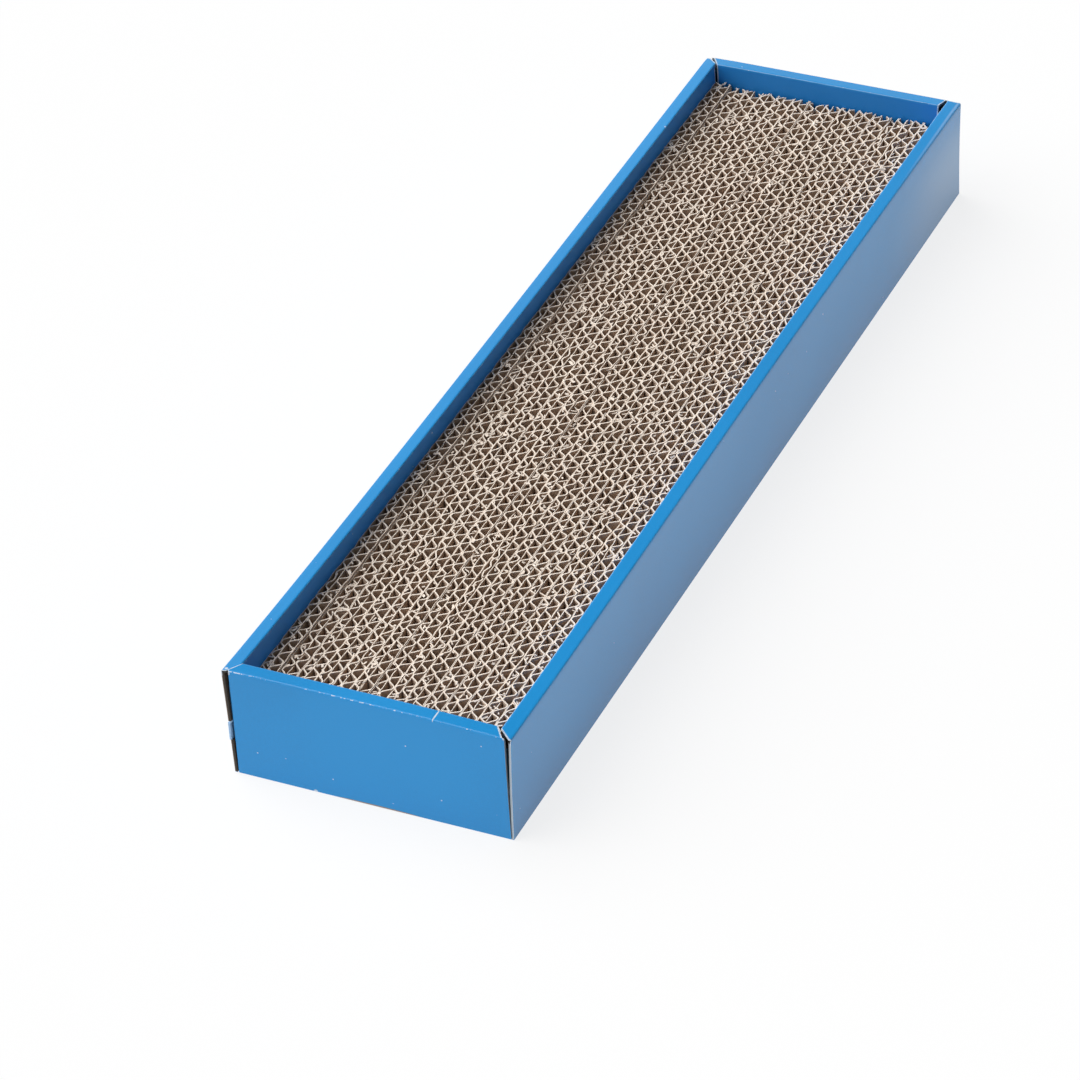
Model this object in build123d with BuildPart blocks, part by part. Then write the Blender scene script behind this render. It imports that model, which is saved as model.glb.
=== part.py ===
"""Cardboard cat scratcher: a folded tray with a lift-out block of corrugated strips.

Lengths are in millimetres. +Z is up, +Y runs along the tray from the front end wall to the rear one,
and the origin is the middle of the underside.
"""

import os

from build123d import *

# Double-wall corrugated strips of the scratching block
strip_count = 14
strip_length = 470.0
strip_height = 36.5
liner_thickness = 0.35
fine_flute_depth = 2.9
fine_flute_pitch = 7.9
coarse_flute_depth = 3.7
coarse_flute_pitch = 8.55
glue_line = 0.05

# Each strip is cut from the board at another point of its flutes
phase_step_share = 0.618
coarse_phase_share = 0.35
crest_share = 0.5

# Room for the block in the tray
block_side_clearance = 0.45
block_end_clearance = 1.5

# Tray board, its folds and its rolled-over walls
board_thickness = 1.2
fold_radius = 0.6
wall_height = 48.0
rim_width = 6.0
corner_gap = 0.7

# Rear right corner: the side wall's rim runs through and the end wall's rim stops short of it
through_rim_recess = 0.4
stopped_rim_gap = 1.3

# Corner flaps, hinged on the side walls and tucked into the hollow end walls
flap_length = 45.0
flap_height = 36.0
flap_corner_cut = 8.0
flap_clearance = 0.3
hinge_depth = 3.0
hinge_height = 8.0
hinge_middle_z = 19.5
hinge_bulge = 1.4
hinge_bulge_width = 1.1
hinge_fold_radius = 0.5

# Tabs that lock the inner panels into slots of the base panel
lock_tab_width = 26.0
lock_tab_recess = 0.2
lock_tab_clearance = 0.3
side_tab_count = 2
side_tab_spacing = 240.0
end_tab_count = 2
end_tab_spacing = 50.0

# How far a cutting shape runs past what it cuts
overrun = 2.0

# Sizes that follow from the ones above
strip_thickness = 3 * liner_thickness + fine_flute_depth + coarse_flute_depth
block_width = strip_count * strip_thickness
tray_width = block_width + 2 * (block_side_clearance + rim_width)
tray_length = strip_length + 2 * (block_end_clearance + rim_width)
half_width = tray_width / 2
half_length = tray_length / 2
half_board = board_thickness / 2
inner_panel_x = half_width - rim_width + half_board
inner_panel_y = half_length - rim_width + half_board
lock_tab_height = board_thickness - lock_tab_recess
flap_face_y = half_length - board_thickness - flap_clearance
flap_root_x = half_width - board_thickness - flap_clearance
flap_tip_x = half_width - flap_length
hinge_end_y = flap_face_y - hinge_depth
hinge_front_y = flap_face_y + hinge_bulge
hinge_root_x = half_width - board_thickness - corner_gap / 2
rim_underside = wall_height - board_thickness
stopped_rim_length = rim_width + stopped_rim_gap

os.makedirs("parts", exist_ok=True)


def finish(part, name):
    """Name a finished piece and write it to its own file."""
    part.label = name
    export_step(part, f"parts/{name}.step")


def wall_section(side, half_span):
    """Section of a rolled-over wall: outer panel, rim with two round folds, inner panel on the base."""
    rim_middle = side * (half_span - rim_width / 2)
    with Locations((rim_middle, wall_height / 2)):
        outline = Rectangle(rim_width, wall_height)
    fillet(outline.vertices().group_by(Axis.Y)[-1], fold_radius)
    with Locations((rim_middle, wall_height / 2 - board_thickness)):
        Rectangle(rim_width - 2 * board_thickness, wall_height, mode=Mode.SUBTRACT)
    with Locations((side * (half_span - rim_width), 0)):
        Rectangle(2 * (rim_width - board_thickness), 2 * board_thickness, mode=Mode.SUBTRACT)


def side_wall_plan(side):
    """Side wall from above: the outer panel runs the whole length, the rim is mitred at both ends."""
    outside_x = side * (half_width + overrun)
    panel_x = side * (half_width - board_thickness)
    inside_x = side * (half_width - rim_width - overrun)
    outside_y = half_length + overrun
    panel_y = half_length - board_thickness - corner_gap
    inside_y = half_length - rim_width - corner_gap - overrun
    front_half = [(outside_x, -outside_y), (panel_x, -outside_y), (panel_x, -panel_y), (inside_x, -inside_y)]
    rear_half = [(x, -y) for x, y in reversed(front_half)]
    return front_half + rear_half


def end_wall_plan(end):
    """End wall from above: the outer panel fits between the side walls, the rim is mitred to theirs."""
    panel_x = half_width - board_thickness - corner_gap
    inside_x = half_width - rim_width - corner_gap - overrun
    outside_y = end * (half_length + overrun)
    panel_y = end * (half_length - board_thickness)
    inside_y = end * (half_length - rim_width - overrun)
    left_half = [(-panel_x, outside_y), (-panel_x, panel_y), (-inside_x, inside_y)]
    right_half = [(-x, y) for x, y in reversed(left_half)]
    return left_half + right_half


def flute_line(root, depth, pitch, phase_share):
    """Roots and crests of one row of flutes, from before the strip's front end to past its rear end."""
    flute_count = int(strip_length / pitch) + 2
    start = -strip_length / 2 - phase_share * pitch
    points = []
    for flute in range(flute_count):
        points.append((root, start + flute * pitch))
        points.append((root + depth, start + (flute + crest_share) * pitch))
    points.append((root, start + flute_count * pitch))
    return points


# Base panel, with a slot for each lock tab
slot_length = lock_tab_width + 2 * lock_tab_clearance
slot_width = board_thickness + 2 * lock_tab_clearance
with BuildPart() as base_panel:
    with BuildSketch(Plane.XY):
        Rectangle(tray_width - 2 * board_thickness, tray_length - 2 * board_thickness)
        with GridLocations(2 * inner_panel_x, side_tab_spacing, 2, side_tab_count):
            Rectangle(slot_width, slot_length, mode=Mode.SUBTRACT)
        with GridLocations(end_tab_spacing, 2 * inner_panel_y, end_tab_count, 2):
            Rectangle(slot_length, slot_width, mode=Mode.SUBTRACT)
    extrude(amount=board_thickness)
finish(base_panel.part, "base_panel")


# Side walls, rolled over; the left one has a notch at each end where a flap's hinge leaves the outer panel
for side_name, side in (("left", -1), ("right", 1)):
    with BuildPart() as kept_wall:
        with BuildSketch(Plane.XY.offset(-overrun)):
            with BuildLine():
                Polyline(*side_wall_plan(side), close=True)
            make_face()
        extrude(amount=wall_height + 2 * overrun)
        if side > 0:
            with BuildSketch(Plane.XY.offset(rim_underside)):
                with Locations((half_width - rim_width / 2, half_length - rim_width - through_rim_recess)):
                    Rectangle(rim_width + 2 * overrun, 2 * rim_width)
            extrude(amount=board_thickness + overrun)
    with BuildPart() as side_wall:
        with BuildSketch(Plane.XZ):
            wall_section(side, half_width)
        extrude(amount=half_length, both=True)
        add(kept_wall.part, mode=Mode.INTERSECT)
        if side < 0:
            with BuildSketch(Plane.YZ.offset(side * half_width)):
                with Locations((-half_length, hinge_middle_z), (half_length, hinge_middle_z)):
                    Rectangle(2 * (half_length - hinge_end_y), hinge_height + 2 * flap_clearance)
            extrude(amount=board_thickness + flap_clearance, both=True, mode=Mode.SUBTRACT)
        with BuildSketch(Plane.XY.offset(lock_tab_recess)):
            with Locations((side * inner_panel_x, 0)):
                with GridLocations(board_thickness, side_tab_spacing, 1, side_tab_count):
                    Rectangle(board_thickness, lock_tab_width)
        extrude(amount=lock_tab_height)
    finish(side_wall.part, f"side_wall_{side_name}")


# End walls, rolled over between the side walls
for end_name, end in (("front", -1), ("rear", 1)):
    with BuildPart() as end_wall:
        with BuildSketch(Plane.YZ):
            wall_section(end, half_length)
        extrude(amount=half_width, both=True)
        with BuildSketch(Plane.XY.offset(-overrun)):
            with BuildLine():
                Polyline(*end_wall_plan(end), close=True)
            make_face()
        extrude(amount=wall_height + 2 * overrun, mode=Mode.INTERSECT)
        if end > 0:
            with BuildSketch(Plane.XY.offset(rim_underside - flap_clearance)):
                with Locations((half_width - stopped_rim_length / 2, half_length - rim_width / 2)):
                    Rectangle(stopped_rim_length, rim_width + 2 * overrun)
            extrude(amount=board_thickness + flap_clearance + overrun, mode=Mode.SUBTRACT)
        with BuildSketch(Plane.XY.offset(lock_tab_recess)):
            with Locations((0, end * inner_panel_y)):
                with GridLocations(end_tab_spacing, board_thickness, end_tab_count, 1):
                    Rectangle(lock_tab_width, board_thickness)
        extrude(amount=lock_tab_height)
    finish(end_wall.part, f"end_wall_{end_name}")


# Corner flaps: the left ones fold round the corner, the right ones are scored and hinge behind the cut edge
for end_name, end in (("front", -1), ("rear", 1)):
    for side_name, side in (("left", -1), ("right", 1)):
        hinge_outline = [
            (side * (half_width - board_thickness), end * flap_face_y),
            (side * flap_tip_x, end * flap_face_y),
            (side * flap_tip_x, end * (flap_face_y - board_thickness)),
            (side * (half_width - board_thickness), end * (flap_face_y - board_thickness)),
        ]
        fold_corner = (side * half_width, end * hinge_front_y)
        if side < 0:
            hinge_outline[0] = (side * hinge_root_x, end * flap_face_y)
            hinge_outline.append((side * (half_width - board_thickness), end * hinge_end_y))
            hinge_outline.append((side * half_width, end * hinge_end_y))
            hinge_outline.append(fold_corner)
            hinge_outline.append((side * (half_width - hinge_bulge_width), end * hinge_front_y))
        with BuildPart() as corner_flap:
            with BuildSketch(Plane.XY.offset(hinge_middle_z)) as hinge:
                with BuildLine():
                    Polyline(*hinge_outline, close=True)
                make_face()
                if side < 0:
                    fillet(hinge.vertices().sort_by_distance(fold_corner)[0], hinge_fold_radius)
            extrude(amount=hinge_height / 2, both=True)
            with BuildSketch(Plane.XZ.offset(-end * (flap_face_y - half_board))) as plate:
                with Locations((side * (flap_root_x + flap_tip_x) / 2, wall_height / 2)):
                    Rectangle(flap_root_x - flap_tip_x, flap_height)
                chamfer(plate.vertices().sort_by(Axis.X, reverse=side < 0)[:2], flap_corner_cut)
            extrude(amount=half_board, both=True)
        finish(corner_flap.part, f"corner_flap_{end_name}_{side_name}")


# Corrugated strips: two outer liners, and the fluted core that is glued between them
fine_root = liner_thickness + fine_flute_depth
coarse_root = fine_root + liner_thickness
fine_reach = glue_line - fine_flute_depth
coarse_reach = coarse_flute_depth - glue_line
for strip_index in range(strip_count):
    strip_x = strip_index * strip_thickness - block_width / 2
    fine_phase_share = strip_index * phase_step_share % 1
    fine_side = flute_line(fine_root, fine_reach, fine_flute_pitch, fine_phase_share)
    coarse_side = flute_line(
        coarse_root, coarse_reach, coarse_flute_pitch, (fine_phase_share + coarse_phase_share) % 1
    )
    with BuildPart() as strip:
        with BuildSketch(Plane((strip_x, 0, board_thickness))):
            with BuildLine():
                Polyline(*fine_side, *reversed(coarse_side), close=True)
            make_face()
            with Locations((strip_thickness / 2, 0)):
                Rectangle(strip_thickness, strip_length, mode=Mode.INTERSECT)
            with Locations((liner_thickness / 2, 0), (strip_thickness - liner_thickness / 2, 0)):
                Rectangle(liner_thickness, strip_length)
        extrude(amount=strip_height)
    finish(strip.part, f"corrugated_strip_{strip_index + 1:02d}")
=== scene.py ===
"""Looks of a cardboard cat scratcher: a printed tray, folded from board, round a block of corrugated strips.

Lengths are in metres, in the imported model's frame: +Z is up, and +Y runs from the front end wall to the
rear one.
"""

import math
import random
from functools import partial

import bmesh
import bpy
from bpy.props import FloatProperty, FloatVectorProperty, IntProperty, PointerProperty
from mathutils import Matrix, Vector, noise


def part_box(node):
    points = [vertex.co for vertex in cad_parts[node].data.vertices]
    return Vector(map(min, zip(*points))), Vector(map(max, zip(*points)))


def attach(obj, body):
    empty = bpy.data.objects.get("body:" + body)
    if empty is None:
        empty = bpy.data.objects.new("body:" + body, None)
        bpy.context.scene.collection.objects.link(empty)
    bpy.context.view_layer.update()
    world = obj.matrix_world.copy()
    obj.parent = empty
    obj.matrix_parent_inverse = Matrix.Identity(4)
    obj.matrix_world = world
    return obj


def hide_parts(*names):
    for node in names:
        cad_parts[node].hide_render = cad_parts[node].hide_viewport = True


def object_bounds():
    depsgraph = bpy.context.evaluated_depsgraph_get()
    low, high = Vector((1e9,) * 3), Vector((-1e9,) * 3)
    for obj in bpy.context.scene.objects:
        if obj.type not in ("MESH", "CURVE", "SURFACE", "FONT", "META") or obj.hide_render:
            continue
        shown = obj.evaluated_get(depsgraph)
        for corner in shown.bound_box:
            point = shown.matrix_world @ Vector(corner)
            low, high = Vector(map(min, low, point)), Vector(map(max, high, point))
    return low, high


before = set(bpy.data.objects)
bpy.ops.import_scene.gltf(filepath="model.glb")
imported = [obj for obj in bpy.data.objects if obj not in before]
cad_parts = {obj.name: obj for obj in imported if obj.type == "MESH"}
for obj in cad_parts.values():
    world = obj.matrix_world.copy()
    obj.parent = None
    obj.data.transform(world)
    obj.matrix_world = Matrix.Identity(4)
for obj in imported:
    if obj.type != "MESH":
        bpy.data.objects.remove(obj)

bl_info = {
    "name": "Cardboard Cat Scratcher",
    "version": (1, 0, 0),
    "blender": (4, 5, 0),
    "location": "3D View > Sidebar > Scratcher",
    "description": "Folds the printed tray, cuts the corrugated strips and sets the studio",
    "category": "Object",
}

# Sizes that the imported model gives
cad_low, cad_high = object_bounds()
HALF_WIDTH = cad_high.x
HALF_LENGTH = cad_high.y
WALL_HEIGHT = cad_high.z
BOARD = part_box("base_panel")[1].z
RIM_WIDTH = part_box("side_wall_left")[1].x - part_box("side_wall_left")[0].x
STRIP_NODES = sorted(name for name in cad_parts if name.startswith("corrugated_strip_"))
FLAP_NODES = sorted(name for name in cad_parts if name.startswith("corner_flap_"))

# Names shared by the meshes and their materials
BOARD_UV = "board"
BOARD_DEPTH = "board_depth"
SHADE = "shade"
PAPER_GROUP = "paper thickness"
TRAY_BODY = "tray"
BLOCK_BODY = "insert"
TRAY_SLOT = "printed_board"
BLOCK_SLOT = "corrugated_board"

# Folds of the developed sheet, measured from the bottom edge of the outer panel over the rim
BASE_FOLD = 0.0
RIM_FOLD = WALL_HEIGHT
INNER_FOLD = WALL_HEIGHT + RIM_WIDTH

# Cuts that let a wall bend, and the sharpest bend that is still shaded smooth
WALL_STEP = 0.014
WALL_ROWS = 7
RIM_COLUMNS = 6
FOLD_SEGMENTS = 4
SMOOTH_ANGLE = math.radians(40)

# How the tray has settled: powers of a point's height or depth, and shares of the tray's run and width
INNER_REACH_SHARE = 0.6
OUTER_LEAN_POWER = 1.5
INNER_LEAN_POWER = 8.0
BOW_POWER = 0.85
WAVE_START_SHARE = 0.05
WAVE_LENGTH_SHARE = 1.1
SWELL_POWER = 3
TOE_POWER = 3
TOE_LIFT_SHARE = 0.08
SLOPE_POWER = 2
LEVEL_START_SHARE = 0.3
LEVEL_DROP_SHARE = 0.65
SIDE_RIPPLE_POWER = 8
END_RIPPLE_POWER = 24
LONG_RIPPLE_RATE = 16
SHORT_RIPPLE_RATE = 30

# Band of a crease that wear reaches, and the band at the ends of a rim
CREASE_WIDTH = 0.0003
LIGHT_WEAR = 0.0004
HEAVY_WEAR = 0.001

# Wear of each wall's creases: the fold, and its shares of flecks and of a rubbed line
LEFT_CREASE_SHARES = ((RIM_FOLD, 0.2, 0.0), (INNER_FOLD, 0.15, 0.0), (BASE_FOLD, 0.25, 0.1))
RIGHT_CREASE_SHARES = ((RIM_FOLD, 0.15, 0.0), (INNER_FOLD, 0.3, 0.45), (BASE_FOLD, 0.25, 0.1))
FRONT_CREASE_SHARES = ((RIM_FOLD, 0.52, 0.0), (INNER_FOLD, 0.1, 0.0), (BASE_FOLD, 0.05, 0.0))
REAR_CREASE_SHARES = ((RIM_FOLD, 0.2, 0.1), (INNER_FOLD, 0.33, 0.22), (BASE_FOLD, 0.25, 0.1))
RIM_END_SHARES = (0.9, 0.85)

# How the flecks of a crease and the specks of the print are made from noise
FLECK_SCALE = 800.0
FLECK_LIMIT = 1.02
FLECK_SHARE = 0.5
FLECK_GAIN = 11.0
STRETCH_SCALE = 55.0
STRETCH_SHARE = 0.35
NEARNESS_GAIN = 2.0
SPECK_SCALE = 430.0
SPECK_LIMIT = 0.88
SPECK_GAIN = 30.0
SCUFF_SCALE = 70.0
SCUFF_DETAIL = 3.0

# White and bared marks on the walls: where they are, how far they reach and the share of their full core
LEFT_TEAR = (-0.0588, 0.0016)
LEFT_TEAR_REACH = (0.0009, 0.0008)
CRACK_X = 0.029
CRACK_REACH = 0.0004
CRACK_LENGTH_SHARE = 0.75
CRACK_CORE_SHARE = 0.6
NICK_X = -0.0239
NICK_REACH = 0.0012
NICK_CORE_SHARE = 0.4
CORNER_X = -0.0572
CORNER_REACH = 0.0006
TEAR_CORE_SHARE = 0.5
SPECK_PLACES = ((0.0167, 0.0336), (-0.048, 0.0122), (-0.0159, 0.0082), (0.0303, 0.0109), (0.0488, 0.0423))
SPECK_REACH = 0.0004
SPECK_CORE_SHARE = 0.3
BARED_X = 0.003
BARED_REACH = 0.019
BARED_CORE_SHARE = 0.85
# Reach of the painted sheen: the right wall's print is painted paler at its far end, standing in for a
# reflection
SHEEN_REACH = (0.1, 0.06)

# Noise scales of the fibres and of the clouds of each paper
PRINT_SCALES = (1500.0, 14.0)
PLAIN_SCALES = (900.0, 30.0)
EDGE_SCALES = (1300.0, 300.0)
BASE_SCALES = (1200.0, 20.0)
HINGE_SCALES = (1200.0, 160.0)
STRIP_SCALES = (1400.0, 120.0)
FRAYED_SCALES = (1500.0, 260.0)
FIBRE_SHARE = 0.45
FIBRE_DETAIL = 4.0
FIBRE_ROUGHNESS = 0.65
STRIP_STRETCH = (1.0, 1.0, 0.25)

# Values of the noise between which a paper changes from one colour to the other
PRINT_TONES = (0.38, 0.62)
PLAIN_TONES = (0.36, 0.64)
EDGE_TONES = (0.3, 0.7)
TORN_TONES = (0.35, 0.6)
SCUFF_TONES = (0.62, 0.75)
STRETCH_TONES = (0.25, 0.5)
HINGE_TONES = (0.3, 0.5)
STRIP_TONES = (0.1, 0.9)
FRAYED_TONES = (0.38, 0.58)

# Shares by which a colour is darkened or blended
# Share by which the painted sheen pales the print
PAINTED_SHEEN_SHARE = 0.4
PLAIN_DARK_SHARE = 0.78
# Painted shade: the plain board is darkened to this share in the hollow of a wall
HOLLOW_PAINTED_SHADE_SHARE = 0.25
# Painted shade: the liner of the left wall's cut edge is darkened to this share of the plain board
LEFT_EDGE_PAINTED_SHADE_SHARE = 0.7
CRUSHED_CORE_SHARE = 0.62
EDGE_FIBRE_SHARE = 0.5
HINGE_BAND_SHARE = 1.3
# Painted shade: the flap's print is darkened to this share, standing in for the shadow of its narrow gap
FLAP_PAINTED_SHADE_SHARE = 0.3
# Pale of the hinge: partly stretched print, partly a painted highlight on the fold
HINGE_PALE_AND_HIGHLIGHT_SHARES = (0.3, 0.5)
STRIP_FIBRE_SHARE = 0.4
STRIP_SHEET_SHARE = 0.6
FRAYED_SHEET_SHARE = 0.16
FRAYED_DARK_SHARE = 0.55

# Roughness, gloss and depth of the relief of each surface
PRINT_ROUGHNESS = 0.17
PRINT_TONE_ROUGHNESS = 0.12
WORN_ROUGHNESS = 0.35
INSIDE_ROUGHNESS = 0.3
PRINT_SPECULAR = 0.45
WASHBOARD_SHARE = 0.08
PRINT_RELIEF = 0.00001
PLAIN_ROUGHNESS = 0.85
PLAIN_RELIEF = 0.00006
EDGE_ROUGHNESS = 0.9
EDGE_RELIEF = 0.00012
BASE_ROUGHNESS = 0.38
BASE_INSIDE_ROUGHNESS = 0.45
BASE_RELIEF = 0.00004
HINGE_ROUGHNESS = 0.42
STRIP_ROUGHNESS = 0.9
FRAYED_ROUGHNESS = 0.95
FRAYED_RELIEF = 0.0001

# Rows of a paper sheet below its frayed top, and the depth that the fraying reaches
ROW_DROPS = (0.009, 0.003, 0.0008)
FRAY_REACH = 0.004
LINER_COLUMNS = 240
FLUTE_COLUMNS = 20

# Shape of a flute: how much steeper than a zigzag, and how abruptly it turns into its crest
FLANK_STEEPNESS = 1.55
CREST_HARDNESS = 12.0
STRAIGHT_SHARE = 0.99

# Unevenness of the paper along a strip: how quickly it changes, in turns a metre, and its layer of the noise
BEND = (260.0, 0.0)
SWAY = (90.0, 5.0)
CUT = (160.0, 9.0)
TEAR = (75.0, 2.0)
DRIFT = (22.0, 0.0)
CRUSH = (34.0, 7.0)
LEAN = (95.0, 3.0)
WANDER_RATES = (60, 14)
GRAIN_RANGE = 100

# Step from the noise of one seam between strips to the next, so that both liners at a seam bend together
SEAM_GRAIN = 7.3

# Shares of that unevenness, and the noise above which a flute is crushed or an edge torn
SWAY_SHARE = 0.6
DRIFT_SHARE = 0.06
CRUSH_LIMIT = 0.36
MOST_CRUSH_SHARE = 0.75
TEAR_LIMIT = 0.3
CUT_LIMIT = 0.25
TOP_SHARE = 0.4

# Shares of the thickest frayed edge that each paper has, of its depth below the edge and of its shade
OUTER_LINER_SHARE = 0.5
MIDDLE_LINER_SHARE = 0.6
FLUTE_SHARE = 0.95
FLAKE_SHARE = 0.5
LOWER_PAPER_SHARE = 0.65
FLUTE_ROOM_SHARE = 0.2
LINER_SHADE_SHARE = 0.7
FLUTE_SHADE_SHARE = 0.3
FINE_CRUSH_SHARE = 1.6
COARSE_CRUSH_SHARE = 0.6

# Torn flakes: their least sizes, curl, tilt and torn sides, and where they lie
FLAKE_COLUMNS = 3
FLAKE_LENGTH_SHARE = 0.35
FLAKE_WIDTH_SHARE = 0.4
FLAKE_CURL_SHARE = 0.4
FLAKE_SAG_SHARE = 0.1
FLAKE_TAPER_SHARE = 0.5
FLAKE_SIDE_SHARES = (0.6, 0.8)
FLAKE_TILT = 1.6
FINE_FLAKE_SHARE = 0.65
FRONT_POWER = 1.25
FLAKE_DEPTH_SHARE = 1.5

FLOOR_SEGMENTS = 64
WHITE = (1.0, 1.0, 1.0, 1.0)


def length_setting(name, default, description):
    """Length that a user may change."""
    return FloatProperty(name=name, description=description, default=default, unit="LENGTH")


def lengths_setting(name, default, description):
    """Lengths that a user may change together."""
    size = len(default)
    return FloatVectorProperty(name=name, description=description, default=default, size=size, unit="LENGTH")


def end_setting(name, default):
    """Cut-backs at one end of a wall."""
    description = "How far the end is cut back at the panel's foot and top and at both folds of the rim"
    return lengths_setting(name, default, description)


def colour_setting(name, default, description):
    """Colour that a user may change."""
    return FloatVectorProperty(name=name, description=description, default=default, subtype="COLOR")


def angle_setting(name, degrees, description):
    """Angle that a user may change."""
    return FloatProperty(name=name, description=description, default=math.radians(degrees), subtype="ANGLE")


class TraySettings(bpy.types.PropertyGroup):
    """Sizes and colours of the folded tray."""

    fold_radius: length_setting("Fold radius", 0.0006, "Outer radius of the folds along the rim")
    left_front_end: end_setting("Left wall, front end", (0.0, 0.0, -0.0023, 0.0053))
    left_rear_end: end_setting("Left wall, rear end", (0.0, 0.0014, -0.0006, 0.0052))
    right_front_end: end_setting("Right wall, front end", (0.0, 0.0, -0.0007, 0.0048))
    right_rear_end: end_setting("Right wall, rear end", (0.0, 0.0008, -0.0069, 0.0009))
    front_left_end: end_setting("Front wall, left end", (0.0018, 0.003, 0.0018, 0.0065))
    front_right_end: end_setting("Front wall, right end", (0.0011, 0.0026, 0.0032, 0.0079))
    rear_left_end: end_setting("Rear wall, left end", (0.0013, 0.0024, 0.003, 0.0068))
    rear_right_end: end_setting("Rear wall, right end", (0.0013, 0.0015, 0.0066, 0.0081))
    mitre_reach: length_setting("Mitre reach", 0.02, "End of a wall over which the mitre is drawn in")
    hinge_middle: length_setting("Hinge middle", 0.0195, "Height of the middle of a corner flap's hinge")
    hinge_height: length_setting("Hinge notch height", 0.0088, "Height of the notch beside a hinge")
    hinge_depth: length_setting("Hinge notch depth", 0.0045, "Depth of the notch beside a hinge")
    tab_width: length_setting("Lock tab width", 0.026, "Width of a lock tab")
    tab_drop: length_setting("Lock tab drop", 0.001, "How far a lock tab goes into the base")
    side_tab_spacing: length_setting("Side tab spacing", 0.24, "Between the lock tabs of a side wall")
    end_tab_spacing: length_setting("End tab spacing", 0.05, "Between the lock tabs of an end wall")
    left_bow: length_setting("Left bow", 0.00095, "How far the left rim bows inwards")
    left_flare: length_setting("Left flare", 0.0003, "How far the left rim leans out at its ends")
    right_flare: length_setting("Right flare", 0.00045, "How far the right rim leans out")
    right_swell: length_setting("Right swell", 0.00035, "How far the right rim's outer edge swells")
    front_swell: length_setting("Front swell", 0.0006, "How far the front rim's inner edge swells")
    left_toe: length_setting("Left toe", 0.0012, "How far the left wall's foot is set in at the front")
    toe_reach: length_setting("Toe reach", 0.03, "Length over which the set-in foot dies out")
    edge_crush: length_setting("Edge crush", 0.0004, "How much thinner a crushed cut edge is")
    right_wave: length_setting("Right wave", 0.0006, "How far the right rim waves in and out")
    front_rise: length_setting("Front rise", 0.0018, "How far the front left corner stands up")
    rise_reach: length_setting("Rise reach", 0.06, "Length over which the rise dies out")
    rim_slopes: lengths_setting(
        "Rim slopes", (0.0005, 0.0002, 0.0003),
        "How much lower the outer folds of the left, right and rear rims lie"
    )
    ripple: length_setting("Ripple", 0.00018, "Unevenness of the panels")
    print_blue: colour_setting("Print", (0.007, 0.3, 0.715), "Blue of the coated print")
    print_deep: colour_setting("Deep print", (0.007, 0.275, 0.665), "Heavier patches of the print")
    # Inner print: the print with a painted shade tint, bluer and darker, as the shaded inner panels look
    shaded_inner_print: colour_setting("Inner print", (0.017, 0.262, 0.74), "Print on the inner panels")
    worn_paper: colour_setting("Worn paper", (0.66, 0.76, 0.86), "Paper under the print")
    plain_board: colour_setting("Plain board", (0.33, 0.24, 0.165), "Unprinted inside of the board")
    # Core: brown flute paper, painted near black, partly painted shade of the open flutes
    core_and_flute_shade: colour_setting("Core", (0.045, 0.038, 0.032), "Core that shows at a cut edge")


class BlockSettings(bpy.types.PropertyGroup):
    """Sizes and colours of the corrugated block."""

    seed: IntProperty(name="Seed", description="Choice of crushed flutes and frayed edges", default=11)
    fine_pitch: length_setting("Fine pitch", 0.0079, "Length of one fine flute")
    coarse_pitch: length_setting("Coarse pitch", 0.00855, "Length of one coarse flute")
    fine_depth: length_setting("Fine depth", 0.0029, "Depth of the fine flutes")
    coarse_depth: length_setting("Coarse depth", 0.0037, "Depth of the coarse flutes")
    liner: length_setting("Liner", 0.00035, "Room for a liner in the board")
    edge_paper: length_setting("Cut edge", 0.0006, "Thickness of the thickest frayed edge")
    wander: length_setting("Wander", 0.0003, "How far the strips wander sideways")
    fray: length_setting("Fray", 0.00033, "How far the cut edges bend over")
    flute_lean: length_setting("Flute lean", 0.0007, "How far a crest leans along the strip")
    uneven_top: length_setting("Uneven top", 0.0004, "Unevenness of the cut")
    tear: length_setting("Tear", 0.0032, "How deep the edges are torn")
    ragged_end: length_setting("Ragged end", 0.0008, "How far a strip may fall short at an end")
    end_reach: lengths_setting(
        "End reach", (0.0003, 0.0012), "How far the strips stand out at the front and at the rear"
    )
    left_reach: length_setting("Left reach", 0.00035, "How far the block has slid to the left wall")
    left_rise: length_setting("Left rise", 0.001, "How far the strip at the left wall stands up")
    liner_drop: length_setting("Liner drop", 0.0001, "How far the liners are worn below the flutes")
    flake_count: IntProperty(name="Flakes", description="Torn flakes on each strip", default=90)
    flake_length: length_setting("Flake length", 0.003, "Length of the longest flake")
    flake_width: length_setting("Flake width", 0.0011, "Width of the widest flake")
    cut_edge: colour_setting("Cut edge colour", (0.98, 0.86, 0.74), "Pale fibres of a cut edge")
    liner_brown: colour_setting("Paper", (0.6, 0.455, 0.345), "Face of the liners and flutes")
    flute_grey: colour_setting("Recycled paper", (0.5, 0.383, 0.293), "Greyer recycled paper")


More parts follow.
